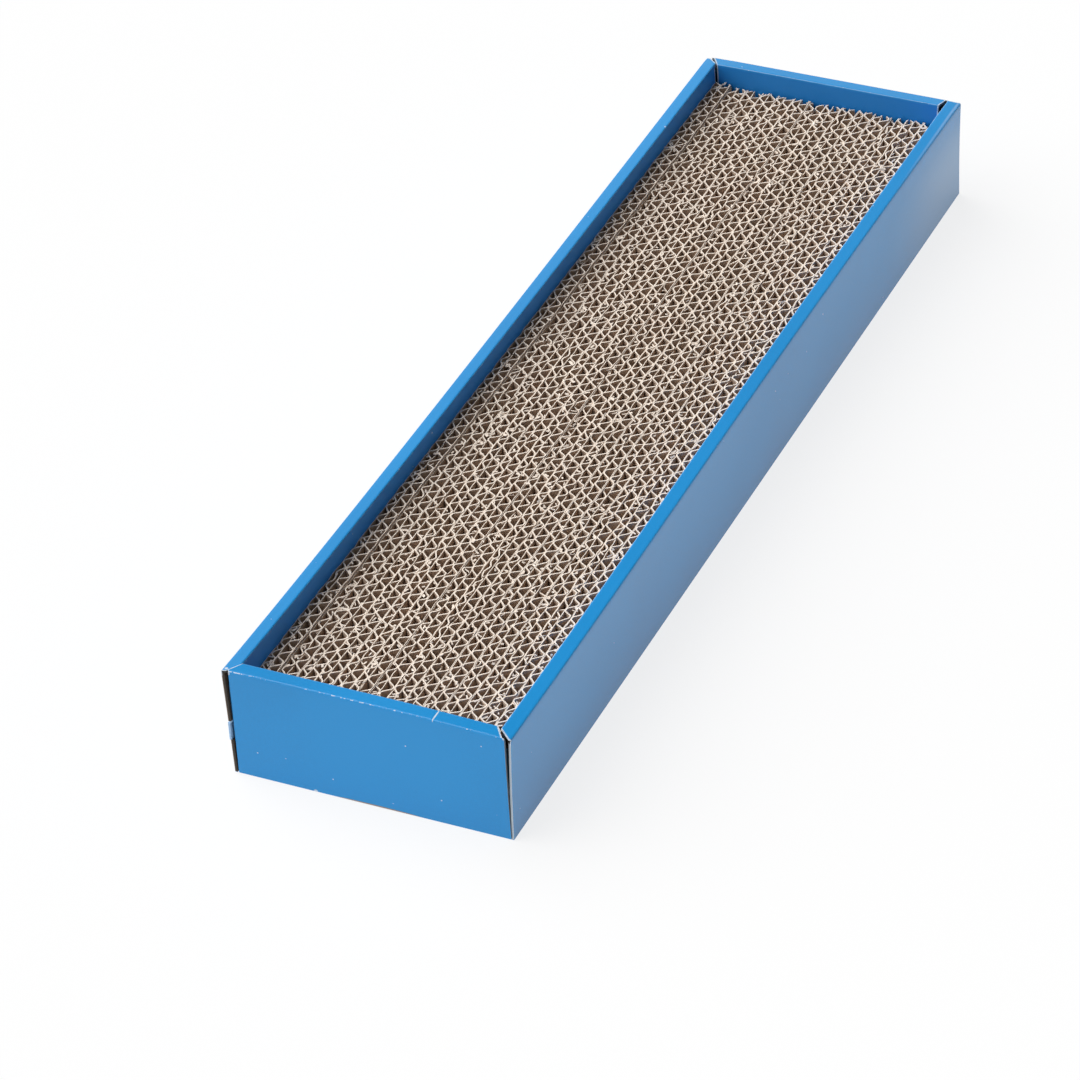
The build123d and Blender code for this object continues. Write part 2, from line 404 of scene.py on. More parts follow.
class StudioSettings(bpy.types.PropertyGroup):
    """Camera, lights and floor."""

    azimuth: angle_setting("Azimuth", 26.13, "Camera's turn round the object")
    elevation: angle_setting("Elevation", 36.08, "Camera's height above the horizon")
    roll: angle_setting("Roll", -3.53, "Camera's roll about its own axis")
    distance: length_setting("Distance", 2.0811, "From the camera to the point it aims at")
    aim: lengths_setting("Aim", (0.00497, -0.0922, 0.024), "Point that the camera aims at")
    lens: FloatProperty(name="Lens", description="Focal length in millimetres", default=172.7)
    sensor: FloatProperty(name="Sensor", description="Sensor width in millimetres", default=36.0)
    key_direction: FloatVectorProperty(
        name="Key light", description="Direction from the object to the key light", default=(-0.66, -0.1, 0.745)
    )
    key_angle: angle_setting("Key width", 80, "Angle that the key light fills")
    key_strength: FloatProperty(name="Key strength", description="Strength of the key light", default=3.55)
    sky: FloatProperty(name="Sky", description="Strength of the even light from all round", default=0.14)
    horizon: FloatProperty(
        name="Horizon", description="White round the horizon, as mirrored rays see it", default=1.0
    )
    horizon_share: FloatVectorProperty(
        name="Horizon height", description="Upward shares between which the white dies out", size=2,
        default=(0.6, 0.44)
    )
    floor_size: length_setting("Floor", 14.0, "Radius of the floor")
    floor_shown: colour_setting("Floor colour", (1.0, 1.0, 1.0), "Floor as the camera sees it")
    floor_bounce: colour_setting("Floor bounce", (0.6, 0.6, 0.6), "Floor as it lights the object")
    floor_glow_share: FloatProperty(
        name="Floor glow", description="Share of the floor's white that keeps no shadow", default=0.82
    )
    floor_lift: FloatProperty(
        name="Floor lift", description="Faint light of the floor on the object", default=0.4
    )
    floor_drop: length_setting("Floor drop", 0.0003, "Room between the floor and the underside")


# Building blocks of the shader trees


def set_inputs(tree, node, inputs):
    """Set or link the inputs of a shader node."""
    for socket, value in inputs.items():
        if isinstance(value, bpy.types.NodeSocket):
            tree.links.new(value, node.inputs[socket])
        else:
            node.inputs[socket].default_value = value


def add_node(tree, kind, inputs=None, **settings):
    """Add a shader node, set its properties, and set or link its inputs."""
    node = tree.nodes.new("ShaderNode" + kind)
    for name, value in settings.items():
        setattr(node, name, value)
    set_inputs(tree, node, inputs or {})
    return node


def calculate(tree, operation, first, second=None, clamp=False):
    """Output of a math node."""
    inputs = {0: first}
    if second is not None:
        inputs[1] = second
    return add_node(tree, "Math", inputs, operation=operation, use_clamp=clamp).outputs[0]


def add_scaled(tree, value, share, other):
    """A value times a share, added to another value."""
    return calculate(tree, "ADD", other, calculate(tree, "MULTIPLY", value, share))


def blend_colours(tree, share, first, second):
    """Colour between two colours, by a share."""
    first, second = [
        colour if isinstance(colour, bpy.types.NodeSocket) else (*colour, 1.0) for colour in (first, second)
    ]
    return add_node(tree, "Mix", {0: share, 6: first, 7: second}, data_type="RGBA").outputs[2]


def ramp(tree, value, low, high):
    """Smooth step of a value, from 0 at low to 1 at high."""
    inputs = {"Value": value, "From Min": low, "From Max": high}
    return add_node(tree, "MapRange", inputs, interpolation_type="SMOOTHSTEP").outputs["Result"]


def speckle(tree, vector, scale, detail=2.0, roughness=0.55):
    """Value of a noise texture."""
    inputs = {"Vector": vector, "Scale": scale, "Detail": detail, "Roughness": roughness}
    return add_node(tree, "TexNoise", inputs).outputs["Fac"]


def parts_of(tree, vector):
    """X, Y and Z of a vector."""
    return add_node(tree, "SeparateXYZ", {0: vector}).outputs


def mesh_value(tree, name):
    """Value that the mesh carries under a name."""
    return add_node(tree, "Attribute", attribute_name=name).outputs["Fac"]


def start_group(name, vectors, values, outputs):
    """New shader group with its named vectors, values and outputs."""
    group = bpy.data.node_groups.new(name, "ShaderNodeTree")
    sockets = [(socket, "INPUT", "NodeSocketVector") for socket in vectors]
    sockets += [(socket, "INPUT", "NodeSocketFloat") for socket in values]
    sockets += [(socket, "OUTPUT", "NodeSocketFloat") for socket in outputs]
    for socket, direction, kind in sockets:
        group.interface.new_socket(socket, in_out=direction, socket_type=kind)
    given = group.nodes.new("NodeGroupInput").outputs
    result = group.nodes.new("NodeGroupOutput").inputs
    return group, given, result


def place_group(tree, group, inputs):
    """Outputs of a shader group placed in a tree."""
    return add_node(tree, "Group", inputs, node_tree=group).outputs


def worn_crease_group():
    """Pale flecks, and a thin rubbed line, where a fold has cracked the print."""
    name = "Worn crease"
    if name in bpy.data.node_groups:
        return bpy.data.node_groups[name]
    values = ("Developed", "Crease", "Width", "Flecks", "Line")
    group, given, result = start_group(name, ("Vector",), values, ("Mask",))
    distance = calculate(group, "ABSOLUTE", calculate(group, "SUBTRACT", given["Developed"], given["Crease"]))
    away = calculate(group, "DIVIDE", distance, given["Width"])
    nearness = calculate(group, "MULTIPLY", calculate(group, "SUBTRACT", 1.0, away), NEARNESS_GAIN, clamp=True)
    flecks = speckle(group, given["Vector"], FLECK_SCALE, 1.0)
    stretches = speckle(group, given["Vector"], STRETCH_SCALE, 1.0)
    worn = add_scaled(group, stretches, STRETCH_SHARE, flecks)
    ease = calculate(group, "MULTIPLY", given["Flecks"], FLECK_SHARE)
    limit = calculate(group, "SUBTRACT", FLECK_LIMIT, ease)
    cracked = calculate(group, "MULTIPLY", calculate(group, "SUBTRACT", worn, limit), FLECK_GAIN, clamp=True)
    rubbed_and_sheen = calculate(group, "MULTIPLY", ramp(group, stretches, *STRETCH_TONES), given["Line"])
    either = calculate(group, "MAXIMUM", cracked, rubbed_and_sheen)
    group.links.new(calculate(group, "MULTIPLY", either, nearness), result["Mask"])
    return group


def nick_group():
    """One mark on the board: full in its core, and fading out at its reach."""
    name = "Nick"
    if name in bpy.data.node_groups:
        return bpy.data.node_groups[name]
    group, given, result = start_group(name, ("Vector", "Centre", "Reach"), ("Core",), ("Mask",))
    offset = add_node(group, "VectorMath", {0: given["Vector"], 1: given["Centre"]}, operation="SUBTRACT")
    scaled = add_node(group, "VectorMath", {0: offset.outputs[0], 1: given["Reach"]}, operation="DIVIDE")
    away = add_node(group, "VectorMath", {0: scaled.outputs[0]}, operation="LENGTH").outputs["Value"]
    group.links.new(ramp(group, away, 1.0, given["Core"]), result["Mask"])
    return group


def paper_fibre_group():
    """Fibres and clouds of paper: a height for the bump and a tone for the colour."""
    name = "Paper fibre"
    if name in bpy.data.node_groups:
        return bpy.data.node_groups[name]
    group, given, result = start_group(name, ("Vector",), ("Fibre scale", "Cloud scale"), ("Height", "Tone"))
    fibres = speckle(group, given["Vector"], given["Fibre scale"], FIBRE_DETAIL, FIBRE_ROUGHNESS)
    clouds = speckle(group, given["Vector"], given["Cloud scale"])
    fibre_part = calculate(group, "MULTIPLY", fibres, FIBRE_SHARE)
    group.links.new(fibres, result["Height"])
    group.links.new(add_scaled(group, clouds, 1 - FIBRE_SHARE, fibre_part), result["Tone"])
    return group


# Materials


def start_material(name):
    """New node material, its tree and its surface shader."""
    material = bpy.data.materials.new(name)
    material.use_nodes = True
    return material, material.node_tree, material.node_tree.nodes["Principled BSDF"]


def start_paper(name, scales, stretch=None):
    """New material of paper, its tree, the place of a point on it, and its fibres, which may be stretched."""
    material, tree, _ = start_material(name)
    place = add_node(tree, "TexCoord").outputs["Object"]
    grain = place
    if stretch:
        grain = add_node(tree, "Mapping", {"Vector": place, "Scale": stretch}).outputs["Vector"]
    inputs = {"Vector": grain, "Fibre scale": scales[0], "Cloud scale": scales[1]}
    return material, tree, place, place_group(tree, paper_fibre_group(), inputs)


def finish_paper(material, colour, relief, depth, roughness):
    """Give a material its colour, its roughness and the normal of its fine relief."""
    tree = material.node_tree
    bump = add_node(tree, "Bump", {"Height": relief, "Strength": 1.0, "Distance": depth})
    inputs = {"Base Color": colour, "Roughness": roughness, "Normal": bump.outputs["Normal"]}
    set_inputs(tree, tree.nodes["Principled BSDF"], inputs)
    return material


def nick_mask(tree, place, nicks):
    """Mask of several marks, each given by its centre, its reach and its core share."""
    mask = 0.0
    for centre, reach, core_share in nicks:
        inputs = {"Vector": place, "Centre": centre, "Reach": reach, "Core": core_share}
        mask = calculate(tree, "MAXIMUM", mask, place_group(tree, nick_group(), inputs)["Mask"])
    return mask


def crease_mask(tree, place, developed, crease, width, fleck_share, line_share):
    """Mask of the wear along one crease of the developed sheet."""
    inputs = {"Vector": place, "Developed": developed, "Crease": crease, "Width": width}
    inputs.update({"Flecks": fleck_share, "Line": line_share})
    return place_group(tree, worn_crease_group(), inputs)["Mask"]


def printed_board(name, tray, half_run, end_wear, crease_shares, flutes_along, nicks=(), bared=(), rubbed_and_sheen=()):
    """Coated blue print on the outside of a folded wall, worn pale along its creases; painted shade tints its
    inner panels.
    """
    material, tree, place, fibre = start_paper(name, PRINT_SCALES)
    developed = parts_of(tree, add_node(tree, "UVMap", uv_map=BOARD_UV).outputs[0])
    blue = blend_colours(tree, ramp(tree, fibre["Tone"], *PRINT_TONES), tray.print_deep, tray.print_blue)
    # Painted shade: the inner panels take the bluer, darker shaded inner print
    inside = ramp(tree, developed["Y"], INNER_FOLD, INNER_FOLD + BOARD)
    blue = blend_colours(tree, inside, blue, tray.shaded_inner_print)
    # Painted sheen: the print is blended towards pale paper where a sheen patch lies
    painted_sheen = calculate(tree, "MULTIPLY", nick_mask(tree, place, rubbed_and_sheen), PAINTED_SHEEN_SHARE)
    blue = blend_colours(tree, painted_sheen, blue, tray.worn_paper)
    specks = calculate(tree, "SUBTRACT", speckle(tree, place, SPECK_SCALE, 0.0), SPECK_LIMIT)
    worn = calculate(tree, "MULTIPLY", specks, SPECK_GAIN, clamp=True)
    for crease, fleck_share, line_share in crease_shares:
        mask = crease_mask(tree, place, developed["Y"], crease, CREASE_WIDTH, fleck_share, line_share)
        worn = calculate(tree, "MAXIMUM", worn, mask)
    low_wear, high_wear = end_wear
    at_high_end = calculate(tree, "GREATER_THAN", developed["X"], 0.0)
    width = add_scaled(tree, at_high_end, high_wear - low_wear, low_wear)
    along_wall = calculate(tree, "ABSOLUTE", developed["X"])
    at_ends = crease_mask(tree, place, along_wall, half_run, width, *RIM_END_SHARES)
    on_rim = ramp(tree, developed["Y"], RIM_FOLD - BOARD, RIM_FOLD)
    worn = calculate(tree, "MAXIMUM", worn, calculate(tree, "MULTIPLY", at_ends, on_rim))
    worn = calculate(tree, "MAXIMUM", worn, nick_mask(tree, place, nicks))
    colour = blend_colours(tree, worn, blue, tray.worn_paper)
    colour = blend_colours(tree, nick_mask(tree, place, bared), colour, tray.plain_board)
    rough = add_scaled(tree, fibre["Tone"], PRINT_TONE_ROUGHNESS, PRINT_ROUGHNESS)
    rough = add_scaled(tree, worn, WORN_ROUGHNESS, rough)
    rough = add_scaled(tree, inside, INSIDE_ROUGHNESS, rough)
    along = developed["X"] if flutes_along else developed["Y"]
    washboard = calculate(tree, "SINE", calculate(tree, "MULTIPLY", along, math.tau / (2 * BOARD)))
    relief = add_scaled(tree, washboard, WASHBOARD_SHARE, fibre["Height"])
    tree.nodes["Principled BSDF"].inputs["Specular IOR Level"].default_value = PRINT_SPECULAR
    return finish_paper(material, colour, relief, PRINT_RELIEF, rough)


def plain_board(name, tray):
    """Unprinted side of the board, darkened by painted shade in the hollow of a wall."""
    material, tree, _, fibre = start_paper(name, PLAIN_SCALES)
    # Painted shade of the hollow darkens the plain board
    light = Vector(tray.plain_board) * HOLLOW_PAINTED_SHADE_SHARE
    colour = blend_colours(tree, ramp(tree, fibre["Tone"], *PLAIN_TONES), light * PLAIN_DARK_SHARE, light)
    return finish_paper(material, colour, fibre["Height"], PLAIN_RELIEF, PLAIN_ROUGHNESS)


def raw_edge(name, tray, liner, core):
    """Cut edge of the board: a liner over its core, torn white at the mitres, printed at the base's fold."""
    material, tree, place, fibre = start_paper(name, EDGE_SCALES)
    height = parts_of(tree, place)["Z"]
    ragged = add_scaled(tree, fibre["Tone"], EDGE_FIBRE_SHARE, mesh_value(tree, BOARD_DEPTH))
    # The core colour is partly painted shade of the open flutes at a cut edge
    cut = blend_colours(tree, ramp(tree, ragged, *EDGE_TONES), liner, core)
    top_share = ramp(tree, add_scaled(tree, fibre["Tone"], BOARD, height), WALL_HEIGHT - BOARD, WALL_HEIGHT)
    torn_liner = blend_colours(tree, ramp(tree, ragged, *TORN_TONES), tray.worn_paper, tray.core_and_flute_shade)
    cut = blend_colours(tree, top_share, cut, torn_liner)
    fold_share = ramp(tree, height, BOARD / 4, BOARD / 8)
    cut = blend_colours(tree, fold_share, cut, tray.print_deep)
    return finish_paper(material, cut, fibre["Height"], EDGE_RELIEF, EDGE_ROUGHNESS)


def crushed_edge(name, tray):
    """Cut edge that the die has crushed pale."""
    return raw_edge(name, tray, tray.worn_paper, Vector(tray.worn_paper) * CRUSHED_CORE_SHARE)


def two_faced_board(name, tray):
    """Base panel: printed on the side that faces down, plain on the other."""
    material, tree, place, fibre = start_paper(name, BASE_SCALES)
    tone = ramp(tree, fibre["Tone"], *PRINT_TONES)
    blue = blend_colours(tree, tone, tray.print_deep, tray.print_blue)
    scuffs = ramp(tree, speckle(tree, place, SCUFF_SCALE, SCUFF_DETAIL), *SCUFF_TONES)
    blue = blend_colours(tree, scuffs, blue, tray.worn_paper)
    brown = blend_colours(tree, tone, Vector(tray.plain_board) * PLAIN_DARK_SHARE, tray.plain_board)
    inside = ramp(tree, parts_of(tree, place)["Z"], BOARD / 4, BOARD / 2)
    rough = add_scaled(tree, inside, BASE_INSIDE_ROUGHNESS, BASE_ROUGHNESS)
    return finish_paper(material, blend_colours(tree, inside, blue, brown), fibre["Height"], BASE_RELIEF, rough)


def hinge_print(name, tray):
    """Flap board: stretched print and a painted highlight at the hinge, painted shade of the gap elsewhere."""
    material, tree, place, fibre = start_paper(name, HINGE_SCALES)
    blue = Vector(tray.print_blue)
    # Partly stretched print, partly painted highlight: the hinge's print is blended towards pale paper
    stretched_lit_fold, pale = [blue.lerp(Vector(tray.worn_paper), share) for share in HINGE_PALE_AND_HIGHLIGHT_SHARES]
    bent = blend_colours(tree, ramp(tree, fibre["Tone"], *HINGE_TONES), stretched_lit_fold, pale)
    across = calculate(tree, "ABSOLUTE", parts_of(tree, place)["X"])
    hinge_share = ramp(tree, across, HALF_WIDTH - HINGE_BAND_SHARE * BOARD, HALF_WIDTH - BOARD)
    # Painted shade: away from the hinge the flap is painted dark, standing in for the shadow of the gap
    colour = blend_colours(tree, hinge_share, Vector(tray.print_deep) * FLAP_PAINTED_SHADE_SHARE, bent)
    return finish_paper(material, colour, fibre["Height"], PLAIN_RELIEF, HINGE_ROUGHNESS)


def corrugated_paper(name, block):
    """Brown recycled paper of the liners and flutes, each sheet a little different."""
    material, tree, _, fibre = start_paper(name, STRIP_SCALES, STRIP_STRETCH)
    fibre_part = calculate(tree, "MULTIPLY", fibre["Tone"], STRIP_FIBRE_SHARE)
    tone = add_scaled(tree, mesh_value(tree, SHADE), STRIP_SHEET_SHARE, fibre_part)
    colour = blend_colours(tree, ramp(tree, tone, *STRIP_TONES), block.flute_grey, block.liner_brown)
    return finish_paper(material, colour, fibre["Height"], PLAIN_RELIEF, STRIP_ROUGHNESS)


def cut_paper(name, block):
    """Frayed edge of cut paper, pale with darker fibres."""
    material, tree, _, fibre = start_paper(name, FRAYED_SCALES)
    fraying = add_scaled(tree, mesh_value(tree, SHADE), FRAYED_SHEET_SHARE, fibre["Tone"])
    dark = Vector(block.cut_edge).lerp(Vector(block.liner_brown), FRAYED_DARK_SHARE)
    colour = blend_colours(tree, ramp(tree, fraying, *FRAYED_TONES), dark, block.cut_edge)
    return finish_paper(material, colour, fibre["Height"], FRAYED_RELIEF, FRAYED_ROUGHNESS)


# Folding of the tray's walls


def slice_mesh(bm, axis, places):
    """Cut the mesh through at each place along an axis, and keep both sides."""
    for place in places:
        everything = bm.verts[:] + bm.edges[:] + bm.faces[:]
        bmesh.ops.bisect_plane(bm, geom=everything, plane_co=axis * place, plane_no=axis)


def even_places(low, high, count):
    """Places that divide a length into equal parts, without its two ends."""
    return [low + (high - low) * step / count for step in range(1, count)]


def extrude_edges(bm, edges, offset):
    """Draw edges out by an offset into new faces."""
    drawn = bmesh.ops.extrude_edge_only(bm, edges=edges)["geom"]
    corners = [item for item in drawn if isinstance(item, bmesh.types.BMVert)]
    bmesh.ops.translate(bm, verts=corners, vec=offset)


def developed_height(point):
    """Distance of a point of a wall from its bottom outer edge, measured over the folded sheet."""
    if point.x < RIM_WIDTH / 2:
        return point.z + point.x
    return WALL_HEIGHT + point.x + WALL_HEIGHT - point.z


def folded_sheet(half_run, tray):
    """Folded sheet of one wall in its own axes: X inwards from the outer face, Y along the wall, Z up."""
    bm = bmesh.new()
    section = [(0.0, 0.0), (0.0, WALL_HEIGHT), (RIM_WIDTH, WALL_HEIGHT), (RIM_WIDTH, BOARD)]
    corners = [bm.verts.new((depth, -half_run, height)) for depth, height in section]
    edges = [bm.edges.new(pair) for pair in zip(corners, corners[1:])]
    extrude_edges(bm, edges, (0.0, 2 * half_run, 0.0))
    folds = [edge for edge in bm.edges if len(edge.link_faces) == 2]
    bmesh.ops.bevel(
        bm, geom=folds, offset=tray.fold_radius, segments=FOLD_SEGMENTS, profile=0.5, affect="EDGES",
        material=-1
    )
    bm.normal_update()
    outer = min(bm.faces, key=lambda face: face.calc_center_median().x)
    if outer.normal.x > 0:
        bmesh.ops.reverse_faces(bm, faces=bm.faces[:])
    return bm


def write_board_uv(bm):
    """Give every corner its place on the developed sheet: along the wall, and over the folds."""
    layer = bm.loops.layers.uv.new(BOARD_UV)
    for face in bm.faces:
        for loop in face.loops:
            loop[layer].uv = (loop.vert.co.y, developed_height(loop.vert.co))


def hinge_span(tray):
    """Heights between which a hinge leaves the outer panel."""
    return tray.hinge_middle - tray.hinge_height / 2, tray.hinge_middle + tray.hinge_height / 2


def cut_hinge_notches(bm, half_run, tray):
    """Open the outer panel at both ends where a flap's hinge leaves it."""
    low, high = hinge_span(tray)
    notch = []
    for face in bm.faces:
        middle = face.calc_center_median()
        at_end = abs(middle.y) > half_run - tray.hinge_depth
        if middle.x < BOARD / 2 and at_end and low < middle.z < high:
            notch.append(face)
    bmesh.ops.delete(bm, geom=notch, context="FACES")


def drop_lock_tabs(bm, tab_places, tray):
    """Lengthen the inner panel's bottom edge into the slots of the base."""
    bottom = []
    for edge in bm.edges:
        middle = (edge.verts[0].co + edge.verts[1].co) / 2
        in_tab = any(abs(middle.y - place) < tray.tab_width / 2 for place in tab_places)
        if edge.is_boundary and in_tab and middle.x > RIM_WIDTH / 2 and middle.z < 2 * BOARD:
            bottom.append(edge)
    extrude_edges(bm, bottom, (0.0, 0.0, -tray.tab_drop))


def end_trim(point, end, tray):
    """How far a point at the end of a wall is cut back: the panel along its height, the rim along its depth."""
    panel_foot, panel_top, outer_fold, inner_fold = end
    if point.x < tray.fold_radius / 2:
        return panel_foot + (panel_top - panel_foot) * point.z / WALL_HEIGHT
    rim_trim = outer_fold + (inner_fold - outer_fold) * point.x / RIM_WIDTH
    if point.z < WALL_HEIGHT - BOARD:
        rim_trim = max(rim_trim, RIM_WIDTH + tray.fold_radius)
    return max(rim_trim, panel_top - tray.fold_radius / 2, 0.0)


def draw_in_ends(bm, half_run, wall, tray):
    """Cut both ends of a wall back, so that its rim meets the next one."""
    start = half_run - tray.mitre_reach
    for vert in bm.verts:
        reach = abs(vert.co.y) - start
        if reach <= 0:
            continue
        trim = end_trim(vert.co, wall["low_end"] if vert.co.y < 0 else wall["high_end"], tray)
        kept_share = (tray.mitre_reach - trim) / tray.mitre_reach
        vert.co.y = math.copysign(start + reach * kept_share, vert.co.y)


def crush_cut_edges(bm, half_run, tray):
    """Thin the outer panel towards its cut ends, where the die has crushed it."""
    depth = bm.verts.layers.float[BOARD_DEPTH]
    for vert in bm.verts:
        near_share = 1 - (half_run - abs(vert.co.y)) / tray.hinge_depth
        if vert[depth] and near_share > 0 and vert.co.x < RIM_WIDTH / 2 and vert.co.z < WALL_HEIGHT - BOARD:
            vert.co.x -= tray.edge_crush * near_share


def give_thickness(bm):
    """Turn the folded sheet into board: printed outside, plain inside, and raw along every cut edge."""
    depth = bm.verts.layers.float.new(BOARD_DEPTH)
    outer_faces = set(bm.faces)
    outer_verts = set(bm.verts)
    bmesh.ops.solidify(bm, geom=bm.faces[:], thickness=BOARD)
    for vert in bm.verts:
        vert[depth] = 0.0 if vert in outer_verts else 1.0
    for face in bm.faces:
        face.smooth = True
        if face in outer_faces:
            face.material_index = 0
        elif any(vert in outer_verts for vert in face.verts):
            face.material_index = 2
        else:
            face.material_index = 1
    bm.normal_update()
    for edge in bm.edges:
        edge.smooth = edge.calc_face_angle(0.0) < SMOOTH_ANGLE


def clamped(value):
    """Value kept between 0 and 1."""
    return min(1.0, max(0.0, value))


def settle_tray(bm, tray):
    """Bow and lean the sides as they are on a real tray, raise the front a little and ripple the panels."""
    inner_reach = RIM_WIDTH * INNER_REACH_SHARE
    for vert in bm.verts:
        x, y, z = vert.co
        from_front = y + HALF_LENGTH
        height_share = clamped(z / WALL_HEIGHT)
        run_share = clamped(from_front / (2 * HALF_LENGTH))
        left_share = clamped(-x / HALF_WIDTH)
        right_share = clamped(x / HALF_WIDTH)
        inner = max(abs(x) - HALF_WIDTH, abs(y) - HALF_LENGTH) < -inner_reach
        lean_share = height_share ** (INNER_LEAN_POWER if inner else OUTER_LEAN_POWER)
        left_lean = tray.left_bow * math.sin(math.pi * run_share ** BOW_POWER) - tray.left_flare
        wave_turn = math.tau * (run_share - WAVE_START_SHARE) / WAVE_LENGTH_SHARE
        right_lean = tray.right_flare + tray.right_wave * math.cos(wave_turn)
        vert.co.x += (left_lean * left_share + right_lean * right_share) * lean_share
        rim_share = clamped((x - HALF_WIDTH + RIM_WIDTH) / RIM_WIDTH)
        vert.co.x += tray.right_swell * rim_share * height_share ** SWELL_POWER
        front_share = clamped(from_front / RIM_WIDTH) if from_front < 2 * RIM_WIDTH else 0.0
        vert.co.y += tray.front_swell * front_share * height_share ** SWELL_POWER
        toe = tray.left_toe * math.exp(-from_front / tray.toe_reach) * (1 - height_share)
        toe *= left_share ** TOE_POWER
        vert.co.x += toe
        vert.co.z += toe * TOE_LIFT_SHARE
        depths = (-x - HALF_WIDTH, x - HALF_WIDTH, y - HALF_LENGTH)
        for depth, slope in zip(depths, tray.rim_slopes):
            vert.co.z -= slope * max(0.0, 1 + depth / RIM_WIDTH) * height_share ** SLOPE_POWER
        level_share = clamped((x / HALF_WIDTH - LEVEL_START_SHARE) / (1 - LEVEL_START_SHARE))
        rise = tray.front_rise * math.exp(-from_front / tray.rise_reach) * (1 - LEVEL_DROP_SHARE * level_share)
        vert.co.z += rise * height_share
        wave = tray.ripple * math.sin(math.pi * height_share)
        along = y * LONG_RIPPLE_RATE
        across = x * SHORT_RIPPLE_RATE
        up = z * SHORT_RIPPLE_RATE
        vert.co.x += wave * left_share ** SIDE_RIPPLE_POWER * noise.noise(Vector((along, up, 1.0)))
        vert.co.x += wave * right_share ** SIDE_RIPPLE_POWER * noise.noise(Vector((along, up, 4.0)))
        end_share = abs(y / HALF_LENGTH)
        vert.co.y += wave * end_share ** END_RIPPLE_POWER * noise.noise(Vector((across, up, 7.0)))


def wall_shape(low_end, high_end, tab_spacing, notched=False, crushed=False):
    """What sets one wall apart: its two ends, its lock tabs, and how its outer panel is cut."""
    tabs = [-tab_spacing / 2, tab_spacing / 2]
    return {"low_end": low_end, "high_end": high_end, "tabs": tabs, "notched": notched, "crushed": crushed}


def fold_wall(node, turn, half_span, half_run, wall, materials):
    """One rolled-over wall, folded in its own axes and then turned to its side of the tray."""
    tray = bpy.context.scene.scratcher_tray
    bm = folded_sheet(half_run, tray)
    stations = even_places(-half_run, half_run, round(2 * half_run / WALL_STEP))
    for place in wall["tabs"]:
        stations += [place - tray.tab_width / 2, place + tray.tab_width / 2]
    stations += [tray.mitre_reach - half_run, half_run - tray.mitre_reach]
    heights = even_places(0.0, WALL_HEIGHT, WALL_ROWS) + [2 * BOARD, WALL_HEIGHT - 2 * BOARD]
    if wall["notched"]:
        stations += [tray.hinge_depth - half_run, half_run - tray.hinge_depth]
        heights += hinge_span(tray)
    slice_mesh(bm, Vector((0.0, 1.0, 0.0)), stations)
    slice_mesh(bm, Vector((0.0, 0.0, 1.0)), heights)
    slice_mesh(bm, Vector((1.0, 0.0, 0.0)), even_places(0.0, RIM_WIDTH, RIM_COLUMNS))
    if wall["notched"]:
        cut_hinge_notches(bm, half_run, tray)
    drop_lock_tabs(bm, wall["tabs"], tray)
    write_board_uv(bm)
    draw_in_ends(bm, half_run, wall, tray)
    give_thickness(bm)
    if wall["crushed"]:
        crush_cut_edges(bm, half_run, tray)
    placing = Matrix.Rotation(turn, 4, "Z") @ Matrix.Translation((-half_span, 0.0, 0.0))
    bmesh.ops.transform(bm, matrix=placing, verts=bm.verts[:])
    settle_tray(bm, tray)
    add_piece(f"{node}_folded", bm, materials, TRAY_BODY, TRAY_SLOT, node)


def add_piece(name, bm, materials, body, slot, *nodes):
    """Turn a finished mesh into a piece that rides on a body and stands for its nodes."""
    mesh = bpy.data.meshes.new(name)
    bm.to_mesh(mesh)
    bm.free()
    for material in materials:
        mesh.materials.append(material)
    piece = bpy.data.objects.new(name, mesh)
    bpy.context.scene.collection.objects.link(piece)
    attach(piece, body)
    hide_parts(*nodes)
    return piece


# Cutting of the corrugated strips


def uneven(grain, y, kind):
    """Noise of one kind of unevenness at a place along a sheet."""
    rate, layer = kind
    return noise.noise(Vector((grain, y * rate, layer)))


def flute_wave(share):
    """Height of a flute between -1 and 1, with steep straight flanks and flattened crests."""
    flank = FLANK_STEEPNESS * math.asin(STRAIGHT_SHARE * math.sin(math.tau * share)) / math.asin(STRAIGHT_SHARE)
    return flank / (1 + abs(flank) ** CREST_HARDNESS) ** (1 / CREST_HARDNESS)


def block_wander(x, y, block):
    """Sideways drift that neighbouring strips share."""
    across_rate, along_rate = WANDER_RATES
    return block.wander * noise.noise(Vector((x * across_rate, y * along_rate, 3.0)))


def liner_place(y, block, middle):
    """Point of a liner at a place along the strip."""
    return middle + block_wander(middle, y, block), y


def flute_place(y, block, row):
    """Point of a row of flutes at a place along the strip, where flutes drift, lean over or are crushed."""
    drift = DRIFT_SHARE * uneven(row["grain"], y, DRIFT)
    wave = flute_wave(y / row["pitch"] + row["phase"] + drift)
    crush = max(0.0, uneven(row["grain"], y, CRUSH) - CRUSH_LIMIT) * row["crush_share"]
    lean = block.flute_lean * uneven(row["grain"], y, LEAN)
    x = row["middle"] + row["reach"] * (1 - min(crush, MOST_CRUSH_SHARE)) * wave
    return x + block_wander(row["middle"], y, block), y + lean * wave


